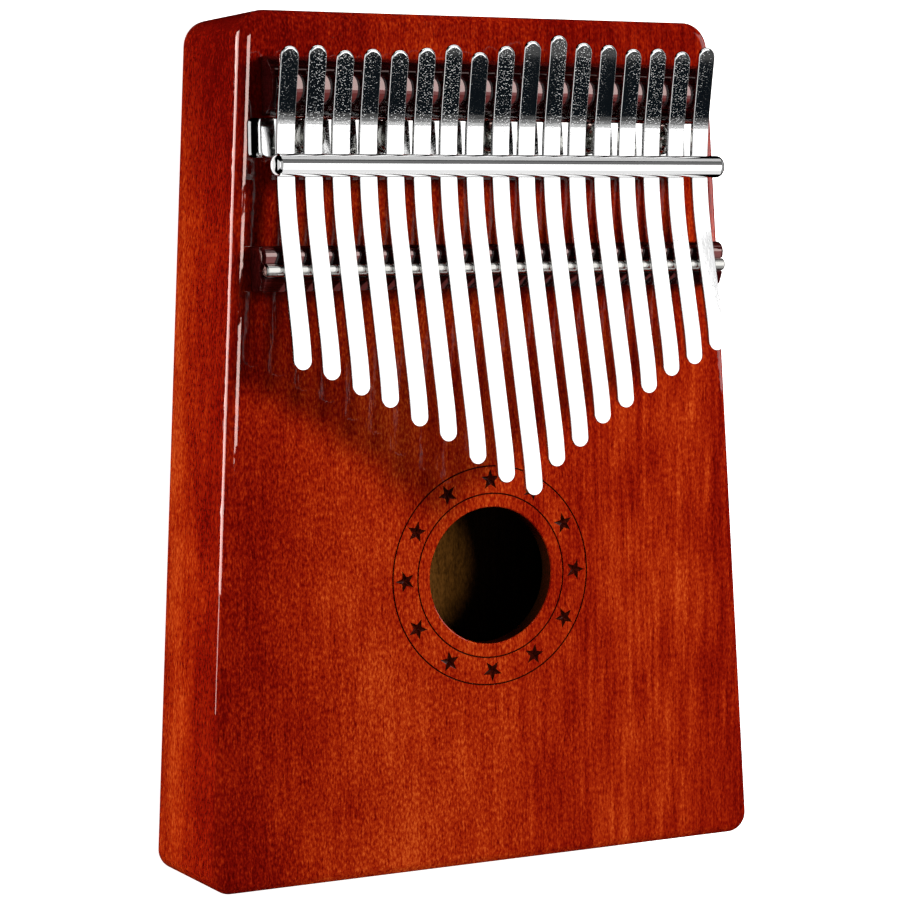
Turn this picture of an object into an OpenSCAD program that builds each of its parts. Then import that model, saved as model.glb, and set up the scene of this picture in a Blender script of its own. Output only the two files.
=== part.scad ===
// Seventeen-key mbira (kalimba) on a hollow wooden box.
// The instrument lies on its back: X runs across it, +Y toward the rear bridge, +Z out of the
// soundboard. The origin is the centre of the back face. All sizes are in millimetres.

/* [Body] */
// Length of the box
body_length = 185; // [183:0.5:190]
// Width of the box at the rear end, behind the rear bridge
rear_width = 114; // [112:0.5:120]
// Width of the box at the player's end
front_width = 134; // [130:0.5:140]
// Thickness of the box from the back face to the playing face
body_thickness = 33; // [30:0.5:38]
// Thickness of the soundboard
soundboard_thickness = 4; // [3:0.5:5]
// Thickness of the back panel
back_thickness = 4; // [3:0.5:5]
// Wall thickness of the side frame
rim_wall = 8; // [6:0.5:10]
// Radius of the two corners at the rear end, seen from the face
rear_corner_radius = 6; // [4:0.5:12]
// Radius of the two corners at the player's end, seen from the face
front_corner_radius = 4.5; // [3.5:0.5:10]
// Radius that rounds the outer edges of the face and of the back
edge_radius = 2.2; // [1:0.1:2.8]
// Thickness of the screw block glued under the soundboard
block_thickness = 12; // [11:0.5:14]

/* [Sound hole] */
// Diameter of the sound hole
hole_diameter = 30; // [26:0.5:32]
// Centre of the sound hole along the body, measured from the middle toward the player
hole_offset = 28.8; // [24:0.2:34]
// Radius of the inner engraved ring
inner_ring_radius = 18; // [17.5:0.1:18.2]
// Radius of the outer engraved ring
outer_ring_radius = 24; // [23.8:0.1:26]
// Width of the engraved rings
ring_width = 0.5; // [0.3:0.05:0.6]
// Depth of the engraving
engraving_depth = 0.4; // [0.2:0.05:0.8]
// Number of engraved stars round the hole
star_count = 12; // [6:1:12]
// Radius of the points of a star
star_radius = 2.3; // [1.8:0.1:2.5]

/* [Tines] */
// Distance between neighbouring tines
tine_pitch = 6.3; // [6.1:0.05:6.5]
// Width of a tine
tine_width = 4.1; // [3.8:0.1:4.3]
// Thickness of a tine
tine_thickness = 1.1; // [0.9:0.05:1.2]
// Free length of the lowest tine, in front of the saddle rod
longest_tine = 48.2; // [44.6:0.2:49.6]
// Length that each tine acts beyond its free length when it sounds
end_correction = 4.4; // [3:0.2:7]
// Slope of the playing length of a tine above the soundboard, in degrees
tongue_slope = 13; // [11:0.5:14]
// Slope of the rear length of a tine, in degrees
tail_slope = 10.5; // [9:0.5:11.5]
// Radius to which the pressure bar bends a tine
bend_radius = 70; // [60:1:72]
// Height of a tine's middle above the soundboard, under the pressure bar
tine_low = 5.85; // [5.6:0.05:6.4]
// Mean place of the tines' rear ends, measured from the middle of the body
tail_reach = 85; // [84:0.2:86]

/* [Clamp] */
// Place of the pressure bar along the body, measured from the middle
bar_y = 60; // [59.8:0.1:60.4]
// Diameter of the pressure bar
bar_diameter = 4.8; // [4.2:0.1:5]
// Length of the pressure bar
bar_length = 108.8; // [107:0.2:112]
// Length of the clamp plate
plate_length = 112.5; // [111:0.5:114]
// Front edge of the clamp plate, measured from the middle of the body
plate_front = 61.6; // [61.4:0.1:61.8]
// Rear edge of the clamp plate, measured from the middle of the body
plate_rear = 70.1; // [69.8:0.1:70.1]
// Thickness of the clamp plate
plate_thickness = 1.2; // [1:0.1:1.5]
// Width of a tooth of the clamp plate, between two tines
tooth_width = 1.3; // [1:0.1:1.4]
// Diameter of a screw's head
screw_head_diameter = 7.2; // [6.4:0.1:7.4]
// Diameter of a screw's shank
screw_shank_diameter = 2.8; // [2.4:0.1:3.2]
// Length of a screw's shank
screw_length = 12; // [10:0.5:13]

/* [Bridges] */
// Length of the rear bridge
rear_bridge_length = 106.2; // [105:0.2:111]
// Radius of the rear bridge's half-round top
rear_bridge_radius = 6.2; // [5.8:0.1:6.2]
// Place of the rear bridge's crest, measured from the middle of the body
rear_bridge_y = 76.6; // [76.5:0.1:76.8]
// Length of the front bridge
front_bridge_length = 112.4; // [111:0.2:114]
// Rear edge of the front bridge, measured from the middle of the body
front_bridge_rear = 43.5; // [43.2:0.1:43.6]
// Front edge of the front bridge, measured from the middle of the body
front_bridge_front = 34; // [33.6:0.1:34.4]
// Height of the front bridge's hump
hump_height = 7.2; // [6.8:0.1:7.3]
// Diameter of the saddle rod
saddle_diameter = 2.7; // [2.4:0.1:3]
// Length of the saddle rod
saddle_length = 111.6; // [110:0.2:115]

/* [Hidden] */
tine_count = 17;
middle_tine = (tine_count + 1) / 2;
TAILS = [for (k = [1 : tine_count]) tine_name(k, "tail")];
TONGUES = [for (k = [1 : tine_count]) tine_name(k, "tongue")];
BODY_NODES = ["side_frame", "soundboard", "back_panel", "screw_block"];
BRIDGE_NODES = ["rear_bridge", "front_bridge", "saddle_rod"];
CLAMP_NODES = ["clamp_plate", "pressure_bar", "clamp_screws"];

// Half lengths and heights that several parts share
half_length = body_length / 2;
least_inner_radius = 2;
face = body_thickness;
hole_y = -hole_offset;
star_ring_radius = (inner_ring_radius + outer_ring_radius) / 2;
// Points of a star, and its inner radius as a share of the outer one
star_points = 5;
star_waist = 0.42;
bar_chamfer = 0.6;
saddle_chamfer = 0.3;
// Gap where a rod lies against wood or steel
touch_gap = 0.02;
// How far a cutter stands past the face that it opens
cut = 1;

// Arc steps of the drawn outlines
corner_steps = 8;
edge_steps = 4;
arc_steps = 8;

// The tines' line: tips level out over an arc, and the playing length turns at the hinge
tip_radius = 50;
tip_slope = 3;
hinge_gap = 0.05;
saddle_to_hinge = 1.7;
rest_y = 38.8;
saddle_drop = (saddle_diameter + tine_thickness) / 2 + touch_gap;
saddle_y = rest_y - saddle_drop * sin(tongue_slope);
saddle_z = face + rise(bar_y - rest_y) - saddle_drop * cos(tongue_slope);
hinge_run = bar_y - saddle_y + saddle_to_hinge;

// Where the tines' rear ends stand, longer or shorter than tail_reach: they were slid to tune them
tail_shift = [-0.7, -0.4, -1.3, -0.9, -1, -0.4, 0.4, -1, 0.4, 1.6, 2.9, 1.5, 1.2, 0.5, 0.7, 0.2, 1.2];

// Notes of the tines: the scale starts at the middle tine and alternates left and right
scale_steps = [0, 2, 4, 5, 7, 9, 11];
notes_in_octave = 12;

// Bar, rear bridge and screws
bar_z = face + tine_low + tine_thickness / 2 + bar_diameter / 2 + touch_gap;
rear_bridge_drop = rear_bridge_radius + tine_thickness / 2 + touch_gap;
rear_rest = rear_bridge_y - bar_y - rear_bridge_drop * sin(tail_slope);
rear_bridge_z = face + rise(-rear_rest) - rear_bridge_drop * cos(tail_slope);
screw_places = [-42.9, -24.2, 0, 24.2, 42.9];
screw_y = 66.4;
head_height = 1.8;
head_edge = 0.7;
recess_depth = 1;
recess_width = 0.9;
recess_length = 3.8;
point_length = 3;
screw_turn = 25;

// Front and rear face of the screw block, under the clamp plate
block_front = plate_front - 4;
block_rear = plate_rear + 6;

// Teeth of the clamp plate, and the wall that they stand on
wall_height = 3.4;
tooth_slope = 0.24;
tooth_thickness = 1.2;
plate_corner_radius = 1.3;

// Front bridge
hump_radius = 2.3;
slope_start = 36.9;
slope_start_height = 7;
slope_end_height = 5.6;

// Name of the node of tine k
function tine_name(k, part) = str("tine_", k < 10 ? "0" : "", k, "_", part);

// Place of tine k across the body
function tine_x(k) = (k - middle_tine) * tine_pitch;

// Step of tine k in the scale, counted from the middle tine: left tines are odd, right ones even
function scale_step(k) = k < middle_tine ? 2 * (middle_tine - k) - 1 : 2 * (k - middle_tine);

// Semitones of tine k above the lowest tine
function semitones(k) = let (step = scale_step(k), degrees = len(scale_steps))
    notes_in_octave * floor(step / degrees) + scale_steps[step % degrees];

// Free length of tine k: the pitch of a bar clamped at one end goes with 1 / length squared
function free_length(k) =
    (longest_tine + end_correction) * pow(2, -semitones(k) / (2 * notes_in_octave)) - end_correction;

// Run of tine k's front tip from the pressure bar, and of its rear end
function tip_run(k) = bar_y - saddle_y + free_length(k);
function tail_run(k) = tail_reach + tail_shift[k - 1] - bar_y;

// A tine's slope at a run from the bar, toward the player when run is positive
function bend_slope(run, limit) = asin(min(run / bend_radius, sin(limit)));
function slope(run) = run < 0 ? -bend_slope(-run, tail_slope) : bend_slope(run, tongue_slope);

// Height of a tine's middle line above the soundboard at a run from the bar
function bent_height(run, limit) =
    let (a = bend_slope(run, limit), arc_run = bend_radius * sin(a))
    bend_radius * (1 - cos(a)) + (run - arc_run) * tan(a);
function rise(run) =
    tine_low + (run < 0 ? bent_height(-run, tail_slope) : bent_height(run, tongue_slope));

// A station on a tine's middle line: place along the body, height and slope
function station(run) = [bar_y - run, face + rise(run), slope(run)];

// A station on the arc that levels out the tip, where s runs from 0 to 1
function tip_station(tip, s) =
    let (
        a = tongue_slope - s * (tongue_slope - tip_slope),
        start = tip - tip_radius * (sin(tongue_slope) - sin(tip_slope)),
        along = tip_radius * (sin(tongue_slope) - sin(a)),
        up = tip_radius * (cos(a) - cos(tongue_slope))
    )
    [bar_y - start - along, face + rise(start) + up, a];

// The line through the stations, moved out along its own normal
function moved(stations, out) =
    [for (p = stations) [p[0] + out * sin(p[2]), p[1] + out * cos(p[2])]];
function backwards(list) = [for (i = [len(list) - 1 : -1 : 0]) list[i]];

// Points of an arc about a centre
function arc(centre, radius, from, to, steps) =
    [for (i = [0 : steps])
        let (a = from + (to - from) * i / steps)
        centre + radius * [cos(a), sin(a)]];

// Lean of the body's sides, and the body's half width at a place along it
side_lean = atan((front_width - rear_width) / 2 / body_length);
function half_width(y) = front_width / 2 - (y + half_length) * tan(side_lean);

// Centre of a corner's arc whose sides are moved in by inset
function corner_centre(y_sign, radius, inset) =
    let (y = y_sign * (half_length - inset - radius))
    [half_width(y) - (inset + radius) / cos(side_lean), y];

// Outline of the body, moved in by inset on every side
function outline(inset) =
    let (
        rear_r = rear_corner_radius - inset,
        front_r = front_corner_radius - inset,
        rear_c = corner_centre(1, rear_r, inset),
        front_c = corner_centre(-1, front_r, inset),
        right = concat(
            arc(front_c, front_r, -90, side_lean, corner_steps),
            arc(rear_c, rear_r, side_lean, 90, corner_steps))
    )
    concat(right, [for (p = backwards(right)) [-p[0], p[1]]]);

// Outline of the space inside the side frame, whose corners keep a small radius
function inner_outline() =
    let (
        rear_r = max(rear_corner_radius - rim_wall, least_inner_radius),
        front_r = max(front_corner_radius - rim_wall, least_inner_radius),
        right = concat(
            arc(corner_centre(-1, front_r, rim_wall), front_r, -90, side_lean, corner_steps),
            arc(corner_centre(1, rear_r, rim_wall), rear_r, side_lean, 90, corner_steps))
    )
    concat(right, [for (p = backwards(right)) [-p[0], p[1]]]);

// A board of the body's outline whose lower edge is rounded: rings of points from the bottom up
module rounded_board(thickness) {
    levels = concat(
        [for (i = [0 : edge_steps])
            let (a = 90 * i / edge_steps)
            edge_radius * [1 - sin(a), 1 - cos(a)]],
        [[0, thickness]]);
    points = [for (level = levels) for (p = outline(level[0])) [p[0], p[1], level[1]]];
    n = len(outline(0));
    last = len(levels) - 1;
    bottom = [for (i = [0 : n - 1]) i];
    top = [for (i = [n - 1 : -1 : 0]) last * n + i];
    sides = [for (j = [0 : last - 1], i = [0 : n - 1])
        let (low = j * n + i, next = j * n + (i + 1) % n)
        each [[low, low + n, next + n], [low, next + n, next]]];
    polyhedron(points, concat([bottom, top], sides));
}

// A straight bar across the body whose section is a polygon in Y and Z
module across(width, points) {
    rotate([90, 0, 90]) linear_extrude(width, center = true) polygon(points);
}

// A round rod across the body with broken end edges
module rod(diameter, length, chamfer) {
    r = diameter / 2;
    h = length / 2;
    section = [[0, -h], [r - chamfer, -h], [r, chamfer - h], [r, h - chamfer], [r - chamfer, h], [0, h]];
    rotate([0, 90, 0]) rotate_extrude($fn = 64) polygon(section);
}

// A round cutter that lies across the body
module round_cut(diameter, length) {
    rotate([0, 90, 0]) cylinder(d = diameter, h = length, center = true, $fn = 64);
}

module side_frame() {
    height = body_thickness - soundboard_thickness - back_thickness;
    color("#8e2110") translate([0, 0, back_thickness]) linear_extrude(height) difference() {
        polygon(outline(0));
        polygon(inner_outline());
    }
}

module star() {
    turn = 180 / star_points;
    points = [for (i = [0 : 2 * star_points - 1])
        let (r = star_radius * (i % 2 == 0 ? 1 : star_waist))
        r * [sin(turn * i), cos(turn * i)]];
    linear_extrude(2 * engraving_depth, center = true) polygon(points);
}

module ring_groove(radius) {
    rotate_extrude($fn = 96)
        translate([radius - ring_width / 2, -engraving_depth]) square([ring_width, 2 * engraving_depth]);
}

module soundboard() {
    color("#a5240f") difference() {
        translate([0, 0, face]) mirror([0, 0, 1]) rounded_board(soundboard_thickness);
        translate([0, hole_y, face - soundboard_thickness - cut])
            cylinder(d = hole_diameter, h = soundboard_thickness + 2 * cut, $fn = 96);
        translate([0, hole_y, face]) {
            ring_groove(inner_ring_radius);
            ring_groove(outer_ring_radius);
            for (i = [0 : star_count - 1])
                rotate([0, 0, -360 / star_count * i]) translate([0, star_ring_radius, 0]) star();
        }
        screw_bores();
    }
}

module back_panel() {
    color("#8a1f10") rounded_board(back_thickness);
}

module screw_block() {
    top = face - soundboard_thickness;
    color("#b98a5c") difference() {
        intersection() {
            translate([0, 0, top - block_thickness])
                linear_extrude(block_thickness) polygon(inner_outline());
            translate([-rear_width, block_front, 0])
                cube([2 * rear_width, block_rear - block_front, face]);
        }
        screw_bores();
    }
}

// Holes in the wood and the plate that the screws fill
module screw_bores() {
    for (x = screw_places)
        translate([x, screw_y, face + plate_thickness - screw_length])
            cylinder(d = screw_shank_diameter, h = screw_length + cut, $fn = 48);
}

module rear_bridge() {
    length = rear_bridge_length;
    width = 2 * rear_bridge_radius;
    color("#5e1010") intersection() {
        union() {
            translate([0, rear_bridge_y, rear_bridge_z]) round_cut(width, length);
            translate([-length / 2, rear_bridge_y - rear_bridge_radius, face])
                cube([length, width, rear_bridge_z - face]);
        }
        translate([-length, rear_bridge_y - width, face]) cube([2 * length, 2 * width, width]);
    }
}

module front_bridge() {
    hump_centre = [front_bridge_rear - hump_radius, face + hump_height - hump_radius];
    hump = arc(hump_centre, hump_radius, 0, 90, arc_steps);
    outline_points = concat(
        [[front_bridge_rear, face]], hump,
        [[slope_start, face + slope_start_height], [front_bridge_front, face + slope_end_height],
         [front_bridge_front, face]]);
    color("#5e1010") difference() {
        across(front_bridge_length, outline_points);
        translate([0, saddle_y, saddle_z])
            round_cut(saddle_diameter + 2 * touch_gap, 2 * front_bridge_length);
    }
}

module saddle_rod() {
    color("#c9ccd0") translate([0, saddle_y, saddle_z]) rod(saddle_diameter, saddle_length, saddle_chamfer);
}

module plate_blank() {
    width = plate_rear - plate_front;
    r = plate_corner_radius;
    translate([0, plate_front, face]) {
        translate([r - plate_length / 2, 0, 0]) cube([plate_length - 2 * r, width, plate_thickness]);
        for (side = [-1, 1]) {
            translate([side * (plate_length / 2 - r) - r, r, 0])
                cube([2 * r, width - 2 * r, plate_thickness]);
            for (y = [r, width - r])
                translate([side * (plate_length / 2 - r), y, 0])
                    cylinder(r = r, h = plate_thickness, $fn = 32);
        }
    }
}

// The wall along the plate's front edge and its teeth, which lean under the pressure bar
module leaning_wall(width, height) {
    lean = tooth_slope * height;
    across(width, [[plate_front, face], [plate_front + tooth_thickness, face],
        [plate_front + tooth_thickness - lean, face + height], [plate_front - lean, face + height]]);
}

module clamp_plate() {
    wall_length = (tine_count - 1) * tine_pitch;
    color("#c4c7cb") difference() {
        union() {
            plate_blank();
            leaning_wall(wall_length, wall_height);
            for (k = [1 : tine_count - 1])
                translate([tine_x(k) + tine_pitch / 2, 0, 0]) leaning_wall(tooth_width, bar_z - face);
        }
        translate([0, bar_y, bar_z]) round_cut(bar_diameter + 2 * touch_gap, 2 * bar_length);
        screw_bores();
    }
}

module pressure_bar() {
    color("#d6d8da") translate([0, bar_y, bar_z]) rod(bar_diameter, bar_length, bar_chamfer);
}

// Domed outline of a screw from its point to the top of its head, as radius and height
module screw() {
    head_r = screw_head_diameter / 2;
    shank_r = screw_shank_diameter / 2;
    dome = head_height - head_edge;
    crown = [for (i = [0 : arc_steps])
        let (a = 90 * i / arc_steps)
        [head_r * cos(a), head_edge + dome * sin(a)]];
    shank = [[0, -screw_length], [shank_r, point_length - screw_length], [shank_r, 0], [head_r, 0]];
    difference() {
        rotate_extrude($fn = 48) polygon(concat(shank, crown));
        for (turn = [0, 90])
            rotate([0, 0, turn])
                translate([-recess_length / 2, -recess_width / 2, head_height - recess_depth])
                    cube([recess_length, recess_width, recess_depth + cut]);
    }
}

module clamp_screws() {
    color("#bfc2c6") for (i = [0 : len(screw_places) - 1])
        translate([screw_places[i], screw_y, face + plate_thickness])
            rotate([0, 0, screw_turn * i]) screw();
}

// Plan of a tine from its front end to its rear end, where a round end has the tine's own width
module tine_plan(front, rear, round_front, round_rear) {
    r = tine_width / 2;
    low = front + (round_front ? r : 0);
    high = rear - (round_rear ? r : 0);
    height = 2 * face;
    translate([-r, low, 0]) cube([tine_width, high - low, height]);
    if (round_front) translate([0, low, 0]) cylinder(r = r, h = height, $fn = 48);
    if (round_rear) translate([0, high, 0]) cylinder(r = r, h = height, $fn = 48);
}

// The clamped length of tine k, from its rear end over the rear bridge and the saddle to the hinge
module tine_tail(k) {
    tail = tail_run(k);
    bend = bend_radius * sin(tail_slope);
    lead = bend_radius * sin(tongue_slope);
    arc_runs = [for (i = [0 : 2 * arc_steps]) lead - (lead + bend) * i / (2 * arc_steps)];
    runs = concat([hinge_run], [for (run = arc_runs) if (run < lead) run], [-tail]);
    stations = [for (run = runs) station(run)];
    pivot = station(hinge_run);
    color("#d2d4d6") translate([tine_x(k), 0, 0]) difference() {
        intersection() {
            across(tine_width, concat(moved(stations, tine_thickness / 2),
                backwards(moved(stations, -tine_thickness / 2))));
            tine_plan(pivot[0] - tine_thickness, bar_y + tail, false, true);
        }
        translate([0, pivot[0], pivot[1]]) round_cut(tine_thickness + 2 * hinge_gap, 2 * tine_width);
    }
}

// The playing length of tine k, which turns about the round face at its rear end
module tine_tongue(k) {
    tip = tip_run(k);
    pivot = station(hinge_run);
    stations = concat([pivot], [for (i = [0 : arc_steps]) tip_station(tip, i / arc_steps)]);
    color("#dcdddf") translate([tine_x(k), 0, 0]) union() {
        intersection() {
            across(tine_width, concat(moved(stations, tine_thickness / 2),
                backwards(moved(stations, -tine_thickness / 2))));
            tine_plan(bar_y - tip, pivot[0] + tine_thickness, true, false);
        }
        translate([0, pivot[0], pivot[1]]) round_cut(tine_thickness, tine_width);
    }
}

side_frame();
soundboard();
back_panel();
screw_block();
rear_bridge();
front_bridge();
saddle_rod();
clamp_plate();
pressure_bar();
clamp_screws();
for (k = [1 : tine_count]) {
    tine_tail(k);
    tine_tongue(k);
}
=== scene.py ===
"""The looks of a seventeen-key mbira: lacquered mahogany box, dark bridges, chrome clamp and steel tines.

X runs across the instrument, +Y toward the rear bridge and +Z out of the soundboard, in metres.
"""

import math

import bmesh
import bpy
from mathutils import Matrix, Vector


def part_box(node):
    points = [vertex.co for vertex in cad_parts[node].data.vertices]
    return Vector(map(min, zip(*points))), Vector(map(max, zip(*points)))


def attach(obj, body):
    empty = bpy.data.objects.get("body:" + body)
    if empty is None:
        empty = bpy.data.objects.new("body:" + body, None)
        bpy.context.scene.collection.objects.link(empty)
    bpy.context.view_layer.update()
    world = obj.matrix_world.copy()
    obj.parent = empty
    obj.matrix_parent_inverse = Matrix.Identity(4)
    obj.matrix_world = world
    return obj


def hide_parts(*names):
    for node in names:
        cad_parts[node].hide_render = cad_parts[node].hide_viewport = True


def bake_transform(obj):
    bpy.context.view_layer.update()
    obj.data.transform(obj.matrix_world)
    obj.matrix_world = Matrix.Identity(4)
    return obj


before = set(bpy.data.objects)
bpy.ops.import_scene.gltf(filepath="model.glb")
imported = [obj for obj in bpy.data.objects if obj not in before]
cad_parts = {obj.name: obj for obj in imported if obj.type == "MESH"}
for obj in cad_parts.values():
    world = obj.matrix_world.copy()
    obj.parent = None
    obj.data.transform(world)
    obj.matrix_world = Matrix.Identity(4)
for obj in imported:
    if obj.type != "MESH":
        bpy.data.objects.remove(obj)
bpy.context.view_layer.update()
scene = bpy.context.scene

# Heights of the box, from the frame
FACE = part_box("soundboard")[1].z
BOARD_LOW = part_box("soundboard")[0].z
BACK_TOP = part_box("back_panel")[1].z
HALF_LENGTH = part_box("side_frame")[1].y

# Plan of the box
FRONT_WIDTH = 0.134
REAR_WIDTH = 0.114
FRONT_CORNER = 0.0045
REAR_CORNER = 0.006
EDGE_RADIUS = 0.0022
RIM_WALL = 0.008
LEAST_INNER_RADIUS = 0.002
SIDE_LEAN = math.atan((FRONT_WIDTH - REAR_WIDTH) / 4 / HALF_LENGTH)

# Sound hole and engraving
HOLE_Y = -0.0288
HOLE_RADIUS = 0.015
HOLE_LIP = 0.0004
HOLE_STEPS = 128
RING_RADII = (0.018, 0.024)
RING_WIDTH = 0.00034
RING_DEPTH = 0.00025
STAR_COUNT = 12
STAR_POINTS = 5
STAR_RADIUS = 0.0024
STAR_WAIST = 0.42
STAR_DEPTH = 0.0007
# How far the cutting shapes reach past the board
CUT_MARGIN = 0.0003

# Line of the tines
TINE_COUNT = 17
BAR_Y = (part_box("pressure_bar")[0].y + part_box("pressure_bar")[1].y) / 2
TINE_WIDTH = 0.0041
TINE_THICKNESS = 0.0011
TONGUE_SLOPE = math.radians(13)
TAIL_SLOPE = math.radians(10.5)
TIP_SLOPE = math.radians(3)
TIP_RADIUS = 0.050
BEND_RADIUS = 0.070
TINE_LOW = 0.00585

# How round the pieces' edges are
TINE_SIDE_ROUND = 0.00016
TINE_TIP_ROUND = 0.00012
TINE_TAIL_ROUND = 0.00055
TINE_EDGE_DROP = 0.00035
# How early a tine's edge turns from the round of its sides to the round of its ends
END_SPREAD = 1.4
BAR_END_ROUND = 0.0014
ROD_END_ROUND = 0.0004
BRIDGE_END_ROUND = 0.0007
PLATE_END_ROUND = 0.0030
PLATE_SIDE_ROUND = 0.0004
SHARP_ANGLE = math.radians(32)

# Steps of the curved outlines
CORNER_STEPS = 14
EDGE_STEPS = 10
ROD_STEPS = 64
TINE_END_STEPS = 10
TINE_EDGE_STEPS = 5
GROOVE_STEPS = 192
TINE_STEP = 0.0010
TINY = 1e-6

# Material slots of the box's pieces
LACQUER, RAW, BURNT_AND_PAINTED_SHADE = range(3)


# ---------------------------------------------------------------- shader helpers

def new_material(name):
    """An empty node material and its node tree."""
    material = bpy.data.materials.new(name)
    material.use_nodes = True
    material.node_tree.nodes.clear()
    return material, material.node_tree


def node(tree, kind, inputs=None, **settings):
    """A shader node; an input given as a socket is linked, any other value is set."""
    made = tree.nodes.new(kind)
    for key, value in settings.items():
        setattr(made, key, value)
    for key, value in (inputs or {}).items():
        if isinstance(value, bpy.types.NodeSocket):
            tree.links.new(value, made.inputs[key])
        else:
            made.inputs[key].default_value = value
    return made


def math_node(tree, operation, a, b=0.0, c=0.0):
    return node(tree, "ShaderNodeMath", {0: a, 1: b, 2: c}, operation=operation).outputs[0]


def map_range(tree, value, low, high, start, end):
    """Carries a value from low..high to start..end."""
    return node(tree, "ShaderNodeMapRange", {0: value, 1: low, 2: high, 3: start, 4: end}).outputs[0]


def noise(tree, vector, stretch, detail=2.0, roughness=0.5, offset=0.0):
    """Noise whose features are 1 / stretch metres long along each axis."""
    mapped = node(tree, "ShaderNodeMapping",
                  {"Vector": vector, "Location": (offset,) * 3, "Scale": stretch})
    made = node(tree, "ShaderNodeTexNoise",
                {"Vector": mapped.outputs[0], "Scale": 1.0, "Detail": detail, "Roughness": roughness})
    return made.outputs["Fac"]


def ramp(tree, value, stops, interpolation="LINEAR"):
    """A colour ramp through (place, colour or grey) stops."""
    made = node(tree, "ShaderNodeValToRGB", {"Fac": value})
    made.color_ramp.interpolation = interpolation
    elements = made.color_ramp.elements
    while len(elements) < len(stops):
        elements.new(0.5)
    for element, (place, colour) in zip(elements, stops):
        element.position = place
        element.color = (*colour, 1) if isinstance(colour, tuple) else (colour, colour, colour, 1)
    return made.outputs["Color"]


def bump(tree, height, strength, distance, normal=None):
    inputs = {"Height": height, "Strength": strength, "Distance": distance}
    if normal is not None:
        inputs["Normal"] = normal
    return node(tree, "ShaderNodeBump", inputs).outputs["Normal"]


def finish_material(tree, **inputs):
    """The material's Principled shader, with its inputs by name."""
    named = {key.replace("_", " "): value for key, value in inputs.items()}
    shader = node(tree, "ShaderNodeBsdfPrincipled", named)
    node(tree, "ShaderNodeOutputMaterial", {"Surface": shader.outputs[0]})


def object_coordinates(tree):
    return node(tree, "ShaderNodeTexCoord").outputs["Object"]


# ---------------------------------------------------------------- materials

# The mahogany's figure: how bright each ribbon is, from left to right across the box
RIBBONS = [(-0.100, 0.62), (-0.090, 0.76), (-0.083, 0.60), (-0.076, 0.46), (-0.066, 0.42), (-0.058, 0.40),
           (-0.050, 0.50), (-0.040, 0.64), (-0.024, 0.74), (-0.010, 0.70), (0.002, 0.70), (0.012, 0.56),
           (0.020, 0.57), (0.034, 0.62), (0.050, 0.64), (0.058, 0.50), (0.066, 0.43)]
FIGURE_WIDTH = 0.2
# How much painted shade darkens the wood toward the rear end
REAR_PAINTED_SHADE = 0.22
# How far the ribbons wander, and where the painted shade darkens the rear end
DRIFT = 0.012
REAR_PAINTED_SHADE_SPAN = (0.045, 0.088)
# Where the mottled left half turns into the striped right half
HALVES = (-0.01, 0.03)
# Colours of the woods, from their darkest shade to their brightest
MAHOGANY = [
    (0.0, (0.070, 0.0008, 0.0004)), (0.30, (0.150, 0.0025, 0.0009)), (0.50, (0.240, 0.0070, 0.0014)),
    (0.70, (0.350, 0.0200, 0.0024)), (0.85, (0.450, 0.0400, 0.0045)), (1.0, (0.580, 0.0800, 0.0110))]
# The raw wood is much darker than bare mahogany: painted shade of the inside of the box
RAW_WOOD_IN_PAINTED_SHADE = [
    (0.1, (0.005, 0.0022, 0.0008)), (0.5, (0.016, 0.007, 0.0022)), (0.9, (0.036, 0.016, 0.005))]
# Burnt engraving, also used as painted shade in the ring grooves and on the sound hole's wall
BURNT_AND_PAINTED_SHADE_WOOD = [(0.3, (0.010, 0.0012, 0.0006)), (0.7, (0.055, 0.005, 0.002))]
STAINED_WOOD = [
    (0.25, (0.010, 0.0008, 0.0010)), (0.55, (0.035, 0.003, 0.003)), (0.85, (0.110, 0.012, 0.009))]


def figured_wood(tree):
    """Coordinates, shade from 0, dark, to 1, bright, and pores of the mahogany; the shade carries painted
    shade toward the rear end.
    """
    place = object_coordinates(tree)
    split = node(tree, "ShaderNodeSeparateXYZ", {0: place})
    drift = noise(tree, place, (25, 7, 25), detail=2)
    across = math_node(tree, "ADD", split.outputs["X"], split.outputs["Z"])
    across = math_node(tree, "ADD", across, math_node(tree, "MULTIPLY", drift, DRIFT))
    across = math_node(tree, "SUBTRACT", across, FACE + DRIFT / 2)
    across = math_node(tree, "MULTIPLY_ADD", across, 1 / FIGURE_WIDTH, 0.5)
    stops = [(x / FIGURE_WIDTH + 0.5, shade) for x, shade in RIBBONS]
    shade = ramp(tree, across, stops, "EASE")
    fibres = noise(tree, place, (700, 40, 700), detail=3, roughness=0.6)
    flecks = noise(tree, place, (2300, 950, 2300), detail=2, roughness=0.6, offset=3.0)
    clouds = noise(tree, place, (110, 55, 110), detail=3, offset=7.0)
    stripes = map_range(tree, split.outputs["X"], *HALVES, 0.45, 0.95)
    spots = map_range(tree, split.outputs["X"], *HALVES, 1.45, 1.10)
    for part, share in ((fibres, stripes), (flecks, spots), (clouds, 0.50)):
        centred = math_node(tree, "SUBTRACT", part, 0.5)
        shade = math_node(tree, "ADD", shade, math_node(tree, "MULTIPLY", centred, share))
    # Painted shade: the wood darkens toward the rear end of the box
    rear = map_range(tree, split.outputs["Y"], *REAR_PAINTED_SHADE_SPAN, 0.0, REAR_PAINTED_SHADE)
    shade = math_node(tree, "SUBTRACT", shade, rear)
    pores = noise(tree, place, (2600, 210, 2600), detail=1, offset=11.0)
    dark_pores = ramp(tree, pores, [(0.62, 0.0), (0.72, 1.0)])
    return place, shade, dark_pores


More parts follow.
